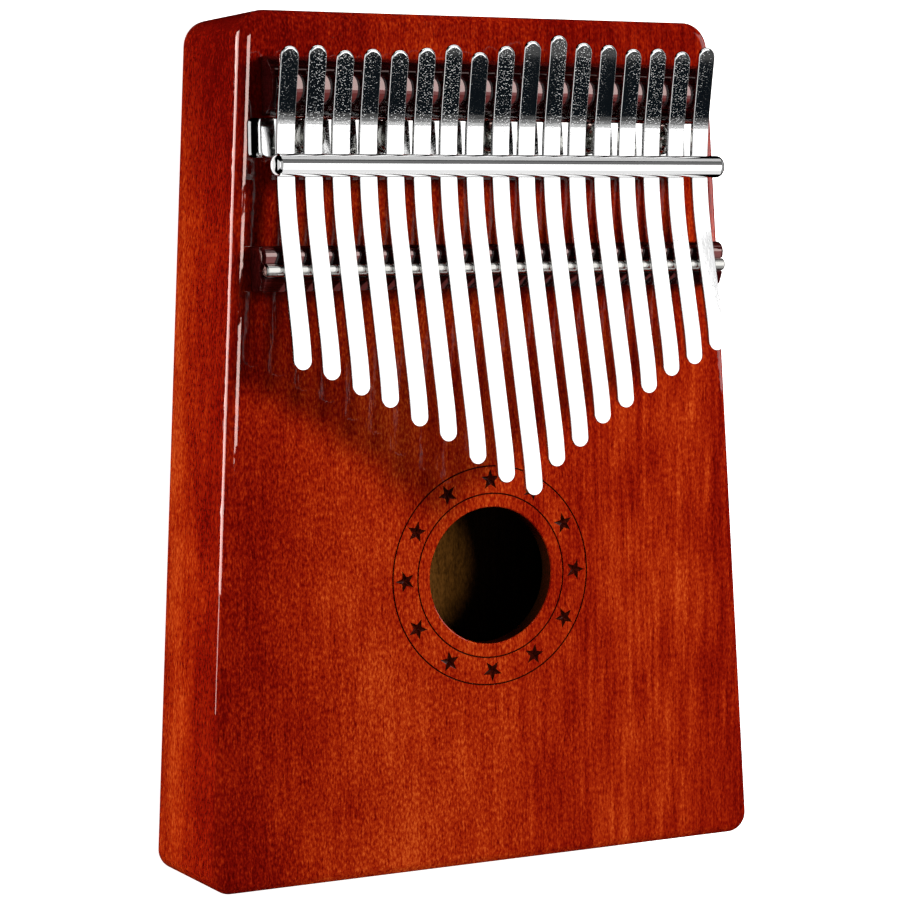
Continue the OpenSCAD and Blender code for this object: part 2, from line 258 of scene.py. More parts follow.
def lacquered_mahogany():
    material, tree = new_material("lacquered_mahogany")
    place, shade, pores = figured_wood(tree)
    shade = math_node(tree, "SUBTRACT", shade, math_node(tree, "MULTIPLY", pores, 0.22))
    colour = ramp(tree, shade, MAHOGANY)
    ripple = noise(tree, place, (260, 130, 260), detail=2)
    grain = noise(tree, place, (1600, 120, 1600), detail=2)
    coat = bump(tree, ripple, 0.18, 0.0004, bump(tree, grain, 0.25, 0.00005))
    finish_material(
        tree, Base_Color=colour, Roughness=0.5, Specular_IOR_Level=0.0,
        Normal=bump(tree, shade, 0.3, 0.0001),
        Coat_Weight=1.0, Coat_Roughness=0.03, Coat_IOR=1.5, Coat_Normal=coat)
    return material


def raw_mahogany_in_painted_shade():
    """The unlacquered wood inside the box, its colours darkened as painted shade of the closed cavity."""
    material, tree = new_material("raw_mahogany_in_painted_shade")
    shade, pores = figured_wood(tree)[1:]
    shade = math_node(tree, "SUBTRACT", shade, math_node(tree, "MULTIPLY", pores, 0.3))
    colour = ramp(tree, shade, RAW_WOOD_IN_PAINTED_SHADE)
    finish_material(tree, Base_Color=colour, Roughness=0.75, Specular_IOR_Level=0.0,
                    Normal=bump(tree, shade, 0.5, 0.0002))
    return material


def burnt_and_painted_shade_mahogany():
    """Dark wood under the same lacquer: the burnt floor of the engraved stars, the floor of the ring
    grooves, darkened partly as burnt engraving and partly as painted shade, and the sound hole's wall,
    darkened as painted shade.
    """
    material, tree = new_material("burnt_and_painted_shade_mahogany")
    place = object_coordinates(tree)
    soot = noise(tree, place, (1800, 900, 1800), detail=3)
    colour = ramp(tree, soot, BURNT_AND_PAINTED_SHADE_WOOD)
    finish_material(
        tree, Base_Color=colour, Roughness=0.5, Specular_IOR_Level=0.0,
        Normal=bump(tree, soot, 0.4, 0.0001), Coat_Weight=0.8, Coat_Roughness=0.10)
    return material


def bridge_wood():
    """Dark red stained hardwood under gloss lacquer."""
    material, tree = new_material("bridge_wood")
    place = object_coordinates(tree)
    fibres = noise(tree, place, (25, 1100, 1100), detail=3, roughness=0.6)
    pores = noise(tree, place, (180, 2400, 2400), detail=1, offset=5.0)
    pores = ramp(tree, pores, [(0.58, 0.0), (0.70, 1.0)])
    shade = math_node(tree, "SUBTRACT", fibres, math_node(tree, "MULTIPLY", pores, 0.25))
    colour = ramp(tree, shade, STAINED_WOOD)
    ripple = noise(tree, place, (300, 300, 300), detail=1)
    finish_material(
        tree, Base_Color=colour, Roughness=0.5, Specular_IOR_Level=0.0,
        Normal=bump(tree, shade, 0.2, 0.0001),
        Coat_Weight=1.0, Coat_Roughness=0.06, Coat_Normal=bump(tree, ripple, 0.3, 0.0002))
    return material


def steel(name, dark, bright, stretch, rough, hammer=0.0):
    """Polished metal: faint drawing marks along stretch, and hammer specks that vary from tine to tine."""
    material, tree = new_material(name)
    place = object_coordinates(tree)
    marks = noise(tree, place, stretch, detail=3, roughness=0.6)
    colour = ramp(tree, marks, [(0.3, dark), (0.7, bright)])
    smears = noise(tree, place, (350, 350, 350), detail=3)
    roughness = ramp(tree, smears, [(0.3, rough), (0.75, rough * 1.8)])
    normal = bump(tree, marks, 0.06, 0.00004)
    if hammer:
        skin = noise(tree, place, (3400, 2900, 3400), detail=1)
        specks = ramp(tree, skin, [(0.61, 0.0), (0.72, 1.0)])
        uneven = noise(tree, place, (90, 4, 1), detail=0, offset=2.0)
        strength = map_range(tree, uneven, 0.38, 0.62, hammer * 0.15, hammer * 1.2)
        normal = bump(tree, specks, strength, 0.00005, normal)
    finish_material(tree, Base_Color=colour, Metallic=1.0, Roughness=roughness, Normal=normal)
    return material


# ---------------------------------------------------------------- mesh helpers

def arc(centre, radius, start, stop, steps):
    """Points of an arc in a plane, with angles in degrees."""
    angles = [math.radians(start + (stop - start) * i / steps) for i in range(steps + 1)]
    return [(centre[0] + radius * math.cos(a), centre[1] + radius * math.sin(a)) for a in angles]


def add_ring(bm, points):
    return [bm.verts.new(p) for p in points]


def bridge_rings(bm, low, high, material_index=0):
    """Quads between two closed rings of the same count."""
    count = len(low)
    for i in range(count):
        j = (i + 1) % count
        face = bm.faces.new((low[i], low[j], high[j], high[i]))
        face.material_index = material_index


def cap(bm, ring, material_index=0):
    face = bm.faces.new(ring)
    face.material_index = material_index


def lofted(bm, rings, material_index=0):
    """A closed solid through rings of points, with flat ends."""
    made = [add_ring(bm, ring) for ring in rings]
    for low, high in zip(made, made[1:]):
        bridge_rings(bm, low, high, material_index)
    cap(bm, list(reversed(made[0])), material_index)
    cap(bm, made[-1], material_index)


def revolved(bm, profile, steps, centre=(0, 0), material_index=0):
    """A solid of revolution about Z; its profile starts and ends on the axis, or closes a ring."""
    turns = [2 * math.pi * i / steps for i in range(steps)]
    rings = []
    for radius, z in profile:
        points = [(centre[0] + radius * math.cos(t), centre[1] + radius * math.sin(t), z)
                  for t in (turns if radius else turns[:1])]
        rings.append(add_ring(bm, points))
    for low, high in zip(rings, rings[1:]):
        for i in range(steps):
            j = (i + 1) % steps
            corners = [low[i % len(low)], low[j % len(low)], high[j % len(high)], high[i % len(high)]]
            face = bm.faces.new(list(dict.fromkeys(corners)))
            face.material_index = material_index


def paint_level(bm, z, material_index):
    """Gives a material to the faces that lie flat at a height."""
    for face in bm.faces:
        if all(abs(v.co.z - z) < TINY for v in face.verts):
            face.material_index = material_index


def inset_outline(points, distance):
    """A closed counter-clockwise outline moved inward."""
    count = len(points)
    moved = []
    for i in range(count):
        before, here, after = (Vector(points[(i + k) % count]) for k in (-1, 0, 1))
        a, b = (here - before).normalized(), (after - here).normalized()
        normal_a, normal_b = Vector((-a.y, a.x)), Vector((-b.y, b.x))
        bisector = (normal_a + normal_b).normalized()
        moved.append(tuple(here + bisector * distance / max(bisector.dot(normal_a), 0.3)))
    return moved


def new_piece(name, bm, materials, body=None, sharp=()):
    """Turns a bmesh into a smooth object whose hard edges, and any others named, stay sharp."""
    bmesh.ops.recalc_face_normals(bm, faces=bm.faces)
    smooth_but_sharp(bm)
    for edge in sharp:
        edge.smooth = False
    mesh = bpy.data.meshes.new(name)
    bm.to_mesh(mesh)
    bm.free()
    for material in materials:
        mesh.materials.append(material)
    piece = bpy.data.objects.new(name, mesh)
    scene.collection.objects.link(piece)
    weighted = piece.modifiers.new("weighted_normals", "WEIGHTED_NORMAL")
    weighted.keep_sharp = True
    if body:
        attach(piece, body)
    return piece


def smooth_but_sharp(bm):
    for face in bm.faces:
        face.smooth = True
    for edge in bm.edges:
        edge.smooth = edge.calc_face_angle(0) < SHARP_ANGLE


def combine(piece, tool_bm, operation):
    """Cuts the tool's mesh out of the piece's, or joins the two as one solid."""
    tool = bpy.data.objects.new("tool", bpy.data.meshes.new("tool"))
    bmesh.ops.recalc_face_normals(tool_bm, faces=tool_bm.faces)
    tool_bm.to_mesh(tool.data)
    tool_bm.free()
    for material in piece.data.materials:
        tool.data.materials.append(material)
    scene.collection.objects.link(tool)
    weighted = piece.modifiers["weighted_normals"]
    weighted.show_viewport = False
    boolean = piece.modifiers.new("combine", "BOOLEAN")
    boolean.operation = operation
    boolean.solver = "EXACT"
    boolean.object = tool
    result = bpy.data.meshes.new_from_object(piece.evaluated_get(bpy.context.evaluated_depsgraph_get()))
    piece.modifiers.remove(boolean)
    weighted.show_viewport = True
    bpy.data.objects.remove(tool)
    bm = bmesh.new()
    bm.from_mesh(result)
    smooth_but_sharp(bm)
    bm.to_mesh(piece.data)
    bm.free()
    bpy.data.meshes.remove(result)


def stands_for(piece, slot, *nodes):
    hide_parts(*nodes)
    return piece


# ---------------------------------------------------------------- box

def half_width(y):
    return FRONT_WIDTH / 2 - (y + HALF_LENGTH) * math.tan(SIDE_LEAN)


def corner(y_sign, radius, inset, start, stop):
    """The right-hand corner's arc of the box outline."""
    y = y_sign * (HALF_LENGTH - inset - radius)
    x = half_width(y) - (inset + radius) / math.cos(SIDE_LEAN)
    return arc((x, y), radius, start, stop, CORNER_STEPS)


def box_outline(inset, front_radius, rear_radius):
    lean = math.degrees(SIDE_LEAN)
    right = corner(-1, front_radius, inset, -90, lean) + corner(1, rear_radius, inset, lean, 90)
    return right + [(-x, y) for x, y in reversed(right)]


def outer_ring(inset, z):
    return [(x, y, z) for x, y in box_outline(inset, FRONT_CORNER - inset, REAR_CORNER - inset)]


def inner_ring(z):
    front = max(FRONT_CORNER - RIM_WALL, LEAST_INNER_RADIUS)
    rear = max(REAR_CORNER - RIM_WALL, LEAST_INNER_RADIUS)
    return [(x, y, z) for x, y in box_outline(RIM_WALL, front, rear)]


def rounded_rings(flat_z, inward):
    """Rings of a board's rounded edge, from its flat face to its side, which lies inward (-1 or 1) in Z."""
    rings = []
    for i in range(EDGE_STEPS + 1):
        a = math.pi / 2 * i / EDGE_STEPS
        z = flat_z + inward * EDGE_RADIUS * (1 - math.cos(a))
        rings.append(outer_ring(EDGE_RADIUS * (1 - math.sin(a)), z))
    return rings


def star_cutter(bm, centre, turn):
    """A five-pointed pyramid that stands on its tip, so that each point of the star is a V-shaped cut."""
    grow = 1 + CUT_MARGIN / STAR_DEPTH
    top = FACE + CUT_MARGIN
    ring = []
    for i in range(2 * STAR_POINTS):
        radius = STAR_RADIUS * grow * (1 if i % 2 == 0 else STAR_WAIST)
        a = turn + math.pi / STAR_POINTS * i
        ring.append(bm.verts.new((centre[0] + radius * math.sin(a), centre[1] + radius * math.cos(a), top)))
    tip = bm.verts.new((centre[0], centre[1], FACE - STAR_DEPTH))
    for i, vert in enumerate(ring):
        face = bm.faces.new((vert, ring[(i + 1) % len(ring)], tip))
        face.material_index = BURNT_AND_PAINTED_SHADE
    cap(bm, ring, BURNT_AND_PAINTED_SHADE)


def groove_cutter(bm, radius):
    """A ring-shaped cutter with a round bottom."""
    profile = [(radius + RING_WIDTH / 2 * math.cos(a), FACE - RING_DEPTH * math.sin(a))
               for a in (math.pi * i / 6 for i in range(7))]
    top = FACE + CUT_MARGIN
    profile = [(radius + RING_WIDTH / 2, top)] + profile + [(radius - RING_WIDTH / 2, top)]
    # The grooves' dark floor is partly burnt engraving and partly painted shade of the narrow grooves
    revolved(bm, profile + profile[:1], GROOVE_STEPS, (0, HOLE_Y), BURNT_AND_PAINTED_SHADE)


def hole_cutter(bm):
    """The sound hole with its eased lip."""
    lip = [(HOLE_RADIUS + HOLE_LIP * (1 - math.cos(a)), FACE - HOLE_LIP * (1 - math.sin(a)))
           for a in (math.pi / 2 * i / 5 for i in range(6))]
    profile = [(0, BOARD_LOW - CUT_MARGIN), (HOLE_RADIUS, BOARD_LOW - CUT_MARGIN)] + lip
    profile += [(HOLE_RADIUS + HOLE_LIP, FACE + CUT_MARGIN), (0, FACE + CUT_MARGIN)]
    revolved(bm, profile, HOLE_STEPS, (0, HOLE_Y), LACQUER)
    # The hole's wall takes the dark burnt wood as painted shade inside the hole
    for face in bm.faces:
        if all(v.co.z < FACE - HOLE_LIP + TINY for v in face.verts):
            face.material_index = BURNT_AND_PAINTED_SHADE


def soundboard_edge(lacquer):
    """The board's rounded outer edge, a closed ring round the flat board."""
    bm = bmesh.new()
    rings = rounded_rings(FACE, -1) + [outer_ring(0, BOARD_LOW), outer_ring(EDGE_RADIUS, BOARD_LOW)]
    made = [add_ring(bm, ring) for ring in rings]
    for low, high in zip(made, made[1:] + made[:1]):
        bridge_rings(bm, low, high)
    return stands_for(new_piece("lacquered_edge", bm, [lacquer], "root"), "body_wood", "soundboard")


def soundboard(lacquer, raw, burnt_and_painted_shade):
    """The flat board inside its rounded edge, with the sound hole and the engraving."""
    bm = bmesh.new()
    lofted(bm, [outer_ring(EDGE_RADIUS, BOARD_LOW), outer_ring(EDGE_RADIUS, FACE)])
    paint_level(bm, BOARD_LOW, RAW)
    piece = new_piece("lacquered_soundboard", bm, [lacquer, raw, burnt_and_painted_shade], "root")
    cutter = bmesh.new()
    hole_cutter(cutter)
    for radius in RING_RADII:
        groove_cutter(cutter, radius)
    ring_radius = sum(RING_RADII) / 2
    for i in range(STAR_COUNT):
        turn = 2 * math.pi * i / STAR_COUNT
        star_cutter(cutter, (ring_radius * math.sin(turn), HOLE_Y + ring_radius * math.cos(turn)), turn)
    combine(piece, cutter, "DIFFERENCE")
    return stands_for(piece, "body_wood", "soundboard")


def side_frame(lacquer, raw):
    bm = bmesh.new()
    outer_low, outer_high = add_ring(bm, outer_ring(0, BACK_TOP)), add_ring(bm, outer_ring(0, BOARD_LOW))
    inner_low, inner_high = add_ring(bm, inner_ring(BACK_TOP)), add_ring(bm, inner_ring(BOARD_LOW))
    bridge_rings(bm, outer_low, outer_high, LACQUER)
    bridge_rings(bm, inner_high, inner_low, RAW)
    bridge_rings(bm, outer_high, inner_high, RAW)
    bridge_rings(bm, inner_low, outer_low, RAW)
    piece = new_piece("lacquered_sides", bm, [lacquer, raw], "root")
    return stands_for(piece, "body_wood", "side_frame")


def back_panel(lacquer, raw):
    bm = bmesh.new()
    lofted(bm, rounded_rings(0, 1) + [outer_ring(0, BACK_TOP)])
    paint_level(bm, BACK_TOP, RAW)
    piece = new_piece("lacquered_back", bm, [lacquer, raw], "root")
    return stands_for(piece, "body_wood", "back_panel")


# ---------------------------------------------------------------- bridges, rods and clamp

HUMP_RADIUS = 0.0023
GROOVE_GAP = 0.00012
SLOPE_START = (0.0366, 0.00684)
SLOPE_END_HEIGHT = 0.0056
BRIDGE_STEPS = 32
END_STEPS = 6


def bar_across(name, section, half_length, end_round, material):
    """A bar across the box: a section in Y and Z whose ends are rounded."""
    bm = bmesh.new()
    ends = []
    for i in range(END_STEPS + 1):
        a = math.pi / 2 * i / END_STEPS
        ends.append((half_length - end_round * (1 - math.sin(a)), end_round * (1 - math.cos(a))))
    stations = [(-x, inset) for x, inset in reversed(ends)] + ends
    lofted(bm, [[(x, y, z) for y, z in inset_outline(section, inset)] for x, inset in stations])
    return new_piece(name, bm, [material], "root")


def round_rod(name, node_name, slot, end_round, material):
    """A rod along X that fills its CAD node."""
    low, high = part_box(node_name)
    centre, radius = ((low.y + high.y) / 2, (low.z + high.z) / 2), (high.z - low.z) / 2
    section = arc(centre, radius, 0, 360, ROD_STEPS)[:-1]
    return stands_for(bar_across(name, section, high.x, end_round, material), slot, node_name)


def rear_bridge(material):
    low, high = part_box("rear_bridge")
    radius = (high.y - low.y) / 2
    crown = arc(((low.y + high.y) / 2, high.z - radius), radius, 0, 180, BRIDGE_STEPS)
    section = [(low.y, low.z), (high.y, low.z)] + crown
    piece = bar_across("half_round_bridge", section, high.x, BRIDGE_END_ROUND, material)
    return stands_for(piece, "bridge_wood", "rear_bridge")


def front_bridge(material):
    """The saddle's block: a hump behind the rod, a groove for the rod and a slope in front of it."""
    low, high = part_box("front_bridge")
    rod_low, rod_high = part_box("saddle_rod")
    hump = arc((high.y - HUMP_RADIUS, high.z - HUMP_RADIUS), HUMP_RADIUS, 0, 90, 10)
    rod_centre = ((rod_low.y + rod_high.y) / 2, (rod_low.z + rod_high.z) / 2)
    groove = arc(rod_centre, (rod_high.z - rod_low.z) / 2 + GROOVE_GAP, -4, -166, 16)
    slope = [(SLOPE_START[0], low.z + SLOPE_START[1]), (low.y, low.z + SLOPE_END_HEIGHT)]
    section = [(low.y, low.z), (high.y, low.z)] + hump + groove + slope
    piece = bar_across("saddle_block", section, high.x, BRIDGE_END_ROUND, material)
    return stands_for(piece, "bridge_wood", "front_bridge")


# ---------------------------------------------------------------- tines

def tine_slope(run):
    """Slope at a run from the pressure bar, which is positive toward the player."""
    limit = TONGUE_SLOPE if run > 0 else TAIL_SLOPE
    return math.copysign(math.asin(min(abs(run) / BEND_RADIUS, math.sin(limit))), run)


def tine_height(run):
    """Height of a tine's middle line above the soundboard."""
    a = abs(tine_slope(run))
    arc_run = BEND_RADIUS * math.sin(a)
    return TINE_LOW + BEND_RADIUS * (1 - math.cos(a)) + (abs(run) - arc_run) * math.tan(a)


def tine_station(run, tip_run):
    """Height and slope of the middle line, which levels out over an arc at its tip."""
    start = tip_run - TIP_RADIUS * (math.sin(TONGUE_SLOPE) - math.sin(TIP_SLOPE))
    if run <= start:
        return tine_height(run), tine_slope(run)
    a = math.asin(math.sin(TONGUE_SLOPE) - (run - start) / TIP_RADIUS)
    return tine_height(start) + TIP_RADIUS * (math.cos(a) - math.cos(TONGUE_SLOPE)), a


def tine_plan(rear, front):
    """Stations along a round-ended tine, as (y, share of half width, how far the outline faces an end)."""
    r = TINE_WIDTH / 2
    turns = [math.pi / 2 * i / TINE_END_STEPS for i in range(TINE_END_STEPS + 1)]
    count = math.ceil((rear - front - TINE_WIDTH) / TINE_STEP)
    straight = [rear - r - (rear - front - TINE_WIDTH) * i / count for i in range(1, count)]
    plan = [(rear - r, math.cos(t), math.sin(t)) for t in reversed(turns)]
    plan += [(y, 1.0, 0.0) for y in straight]
    plan += [(front + r, math.cos(t), -math.sin(t)) for t in turns]
    return plan


def tine_section():
    """Rounded edge of a tine, from its top's rim to its underside's, as (share of inset, height)."""
    half = TINE_THICKNESS / 2
    top = [(1 - math.sin(a), half - TINE_EDGE_DROP * (1 - math.cos(a)))
           for a in (math.pi / 2 * i / TINE_EDGE_STEPS for i in range(TINE_EDGE_STEPS + 1))]
    return top + [(share, -height) for share, height in reversed(top)]


def tine_rows(bm, x, rear, front):
    """Rows of points along the left and right edges of a tine, from its top's rim to its underside's."""
    r = TINE_WIDTH / 2
    rows = []
    for share, height in tine_section():
        left, right = [], []
        for centre_y, across, along in tine_plan(rear, front):
            end_round = TINE_TAIL_ROUND if along > 0 else TINE_TIP_ROUND
            toward_end = min(1, END_SPREAD * abs(along))
            inset = share * (TINE_SIDE_ROUND + (end_round - TINE_SIDE_ROUND) * toward_end)
            y = centre_y + (r - inset) * along
            rise, slope = tine_station(BAR_Y - y, BAR_Y - front)
            y += height * math.sin(slope)
            z = FACE + rise + height * math.cos(slope)
            half = (r - inset) * across
            left.append(bm.verts.new((x - half, y, z)))
            right.append(left[-1] if across < TINY else bm.verts.new((x + half, y, z)))
        rows.append((left, right))
    return rows


def skin_strip(bm, row, other):
    """Faces between two rows of points, which may share points at their ends."""
    for i in range(len(row) - 1):
        bm.faces.new(list(dict.fromkeys((row[i], row[i + 1], other[i + 1], other[i]))))


def tine(k, material):
    tail_low, tail_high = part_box(f"tine_{k:02d}_tail")
    tongue_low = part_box(f"tine_{k:02d}_tongue")[0]
    x = (tail_low.x + tail_high.x) / 2
    bm = bmesh.new()
    rows = tine_rows(bm, x, tail_high.y, tongue_low.y)
    for (left_a, right_a), (left_b, right_b) in zip(rows, rows[1:]):
        skin_strip(bm, left_a, left_b)
        skin_strip(bm, right_b, right_a)
    skin_strip(bm, *rows[0])
    skin_strip(bm, *rows[-1])
    rim = [bm.edges.get((a, b)) for side in rows[0] for a, b in zip(side, side[1:])]
    piece = new_piece(f"tine_{k:02d}", bm, [material], sharp=rim)
    stands_for(piece, "tine_steel", f"tine_{k:02d}_tail", f"tine_{k:02d}_tongue")
    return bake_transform(piece)


# ---------------------------------------------------------------- clamp

PLATE_CORNER = 0.0013
PLATE_CORNER_STEPS = 6
PLATE_EDGE_DROP = 0.0010
PLATE_FRONT = BAR_Y + 0.0016
TOOTH_WIDTH = 0.0013
TOOTH_THICKNESS = 0.0012
TOOTH_SLOPE = 0.24
WALL_HEIGHT = 0.0034
BAR_GAP = 0.00002
SCREW_PLACES = (-0.0429, -0.0242, 0.0, 0.0242, 0.0429)
SCREW_Y = 0.0664
SCREW_TURN = math.radians(25)
HEAD_RADIUS = 0.0036
HEAD_HEIGHT = 0.0018
HEAD_EDGE = 0.0007
HEAD_STEPS = 10
SCREW_STEPS = 48
SHANK_RADIUS = 0.0014
SHANK_STEPS = 32
POINT_LENGTH = 0.003
RECESS_DEPTH = 0.0011
RECESS_HALF_LENGTH = 0.0019
RECESS_HALF_WIDTH = 0.00045
# Levels of the recess's taper, in recess depths over the crown, and its width at each
RECESS_TAPER = ((-1, 0.45), (0, 1.0), (1, 1.5))


def plate_outline(half_x, low_y, high_y):
    """A rectangle with round corners, from its front right corner round."""
    r = PLATE_CORNER
    points = []
    for centre, start in (((half_x - r, low_y + r), -90), ((half_x - r, high_y - r), 0),
                          ((r - half_x, high_y - r), 90), ((r - half_x, low_y + r), 180)):
        points += arc(centre, r, start, start + 90, PLATE_CORNER_STEPS)
    return points


def leaning_prism(bm, x, half_x, height):
    """A wall whose top leans toward the player, under the pressure bar."""
    base = FACE + PLATE_EDGE_DROP / 2
    rear = PLATE_FRONT + TOOTH_THICKNESS
    lean = TOOTH_SLOPE * height
    section = [(PLATE_FRONT, base), (rear, base),
               (rear - lean, FACE + height), (PLATE_FRONT - lean, FACE + height)]
    lofted(bm, [[(x + side * half_x, y, z) for y, z in section] for side in (-1, 1)])


def plate_body(bm, top):
    """The flat plate with its rolled rim."""
    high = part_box("clamp_plate")[1]
    rings = [[(x, y, FACE) for x, y in plate_outline(high.x, PLATE_FRONT, high.y)]]
    for i in range(EDGE_STEPS, -1, -1):
        a = math.pi / 2 * i / EDGE_STEPS
        share, z = 1 - math.sin(a), top - PLATE_EDGE_DROP * (1 - math.cos(a))
        outline = plate_outline(high.x - share * PLATE_END_ROUND, PLATE_FRONT + share * PLATE_SIDE_ROUND,
                                high.y - share * PLATE_SIDE_ROUND)
        rings.append([(x, y, z) for x, y in outline])
    lofted(bm, rings)


def clamp_plate(material):
    """The stamped plate: a wall with a tooth between every two tines, seats for the bar and screw holes."""
    screw_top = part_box("clamp_screws")[1].z
    bar_low, bar_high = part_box("pressure_bar")
    bar_z, bar_radius = (bar_low.z + bar_high.z) / 2, (bar_high.z - bar_low.z) / 2
    gaps = [(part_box(f"tine_{k:02d}_tail")[0].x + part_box(f"tine_{k + 1:02d}_tail")[1].x) / 2
            for k in range(1, TINE_COUNT)]
    bm = bmesh.new()
    plate_body(bm, screw_top - HEAD_HEIGHT)
    piece = new_piece("stamped_plate", bm, [material], "root")
    wall = bmesh.new()
    leaning_prism(wall, 0, gaps[-1] + TOOTH_WIDTH * 2, WALL_HEIGHT)
    combine(piece, wall, "UNION")
    teeth = bmesh.new()
    for x in gaps:
        leaning_prism(teeth, x, TOOTH_WIDTH / 2, bar_z - FACE)
    combine(piece, teeth, "UNION")
    cutter = bmesh.new()
    section = arc((BAR_Y, bar_z), bar_radius + BAR_GAP, 0, 360, ROD_STEPS)[:-1]
    lofted(cutter, [[(side * FRONT_WIDTH, y, z) for y, z in section] for side in (-1, 1)])
    shank = [(0, BOARD_LOW), (SHANK_RADIUS, BOARD_LOW), (SHANK_RADIUS, screw_top), (0, screw_top)]
    for x in SCREW_PLACES:
        revolved(cutter, shank, SHANK_STEPS, (x, SCREW_Y))
    combine(piece, cutter, "DIFFERENCE")
    return stands_for(piece, "chrome", "clamp_plate")


def cross_outline(half_length, half_width, turn):
    """A plus-shaped outline, turned about its middle."""
    a, b = half_length, half_width
    quarter = [(a, -b), (a, b), (b, b)]
    outline = []
    for i in range(4):
        c, d = math.cos(turn + math.pi / 2 * i), math.sin(turn + math.pi / 2 * i)
        outline += [(c * u - d * v, d * u + c * v) for u, v in quarter]
    return outline


def clamp_screws(material):
    """Five pan-head screws with cross recesses, each turned a little further than the last."""
    low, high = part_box("clamp_screws")
    seat = high.z - HEAD_HEIGHT
    crown = [(HEAD_RADIUS * math.cos(a), seat + HEAD_EDGE + (HEAD_HEIGHT - HEAD_EDGE) * math.sin(a))
             for a in (math.pi / 2 * i / HEAD_STEPS for i in range(HEAD_STEPS + 1))]
    profile = [(0, low.z), (SHANK_RADIUS, low.z + POINT_LENGTH), (SHANK_RADIUS, seat), (HEAD_RADIUS, seat)]
    profile += crown[:-1] + [(0, high.z)]
    bm, cutter = bmesh.new(), bmesh.new()
    for i, x in enumerate(SCREW_PLACES):
        revolved(bm, profile, SCREW_STEPS, (x, SCREW_Y))
        rings = []
        for level, scale in RECESS_TAPER:
            cross = cross_outline(RECESS_HALF_LENGTH * scale, RECESS_HALF_WIDTH * scale, SCREW_TURN * i)
            rings.append([(x + u, SCREW_Y + v, high.z + level * RECESS_DEPTH) for u, v in cross])
        lofted(cutter, rings)
    piece = new_piece("pan_head_screws", bm, [material], "root")
    combine(piece, cutter, "DIFFERENCE")
    return stands_for(piece, "screw_steel", "clamp_screws")


# ---------------------------------------------------------------- studio

WHITE = (1, 1, 1)
PINK = (1, 0.70, 0.64)
ROOM_LIGHT = 0.08
CAMERA_PLACE = Vector((-0.2874, 0.0415, 0.5669))
CAMERA_YAW = math.radians(27.47)
CAMERA_PITCH = math.radians(-4.03)
CAMERA_ROLL = math.radians(-0.70)
CAMERA_LENS = 111.6
SENSOR_WIDTH = 36
FLOOR_HALF = 12


def make_camera():
    forward = Vector((math.sin(CAMERA_YAW) * math.cos(CAMERA_PITCH), math.sin(CAMERA_PITCH),
                      -math.cos(CAMERA_YAW) * math.cos(CAMERA_PITCH)))
    right = forward.cross(Vector((0, 1, 0))).normalized()
    up = right.cross(forward)
    c, s = math.cos(CAMERA_ROLL), math.sin(CAMERA_ROLL)
    right, up = right * c + up * s, up * c - right * s
    camera = bpy.data.objects.new("camera", bpy.data.cameras.new("camera"))
    camera.data.lens = CAMERA_LENS
    camera.data.sensor_width = SENSOR_WIDTH
    camera.data.clip_start = 0.01
    camera.data.clip_end = 100
    turned = Matrix((right, up, -forward)).transposed().to_4x4()
    camera.matrix_world = Matrix.Translation(CAMERA_PLACE) @ turned
    scene.collection.objects.link(camera)
    scene.camera = camera


def soft_light(name, place, target, size, radiance, colour=WHITE, diffuse=True, glossy=True, lights=None):
    """A rectangular light of a given brightness; lights limits it to a few pieces."""
    data = bpy.data.lights.new(name, "AREA")
    data.shape = "RECTANGLE"
    data.size, data.size_y = size
    data.energy = radiance * math.pi * size[0] * size[1]
    data.color = colour
    light = bpy.data.objects.new(name, data)
    place = Vector(place)
    light.matrix_world = (Matrix.Translation(place)
                          @ (Vector(target) - place).to_track_quat("-Z", "Y").to_matrix().to_4x4())
    light.visible_camera = False
    light.visible_diffuse = diffuse
    light.visible_glossy = glossy
    scene.collection.objects.link(light)
    if lights:
        receivers = bpy.data.collections.new(name + "_receivers")
        for piece in lights:
            receivers.objects.link(piece)
        light.light_linking.receiver_collection = receivers


def make_floor():
    material, tree = new_material("pale_floor")
    mottle = noise(tree, object_coordinates(tree), (3, 3, 3), detail=2)
    colour = ramp(tree, mottle, [(0.3, (0.90, 0.90, 0.90)), (0.7, (0.94, 0.94, 0.94))])
    finish_material(tree, Base_Color=colour, Roughness=0.9, Specular_IOR_Level=0.0,
                    Emission_Color=(*WHITE, 1), Emission_Strength=1.0)
    bm = bmesh.new()
    corners = ((-1, -1), (1, -1), (1, 1), (-1, 1))
    cap(bm, add_ring(bm, [(x * FLOOR_HALF, y * FLOOR_HALF, 0) for x, y in corners]))
    mesh = bpy.data.meshes.new("floor")
    bm.to_mesh(mesh)
    bm.free()
    mesh.materials.append(material)
    floor = bpy.data.objects.new("floor", mesh)
    floor.visible_glossy = False
    scene.collection.objects.link(floor)


def make_world():
    """White where the camera sees it and a faint, even light elsewhere."""
    world = bpy.data.worlds.new("studio")
    world.use_nodes = True
    tree = world.node_tree
    tree.nodes.clear()
    path = node(tree, "ShaderNodeLightPath")
    dim = node(tree, "ShaderNodeBackground", {"Color": (*WHITE, 1), "Strength": ROOM_LIGHT})
    seen = node(tree, "ShaderNodeBackground", {"Color": (*WHITE, 1), "Strength": 1.0})
    mixed = node(tree, "ShaderNodeMixShader",
                 {0: path.outputs["Is Camera Ray"], 1: dim.outputs[0], 2: seen.outputs[0]})
    node(tree, "ShaderNodeOutputWorld", {"Surface": mixed.outputs[0]})
    world.cycles_visibility.glossy = False
    scene.world = world


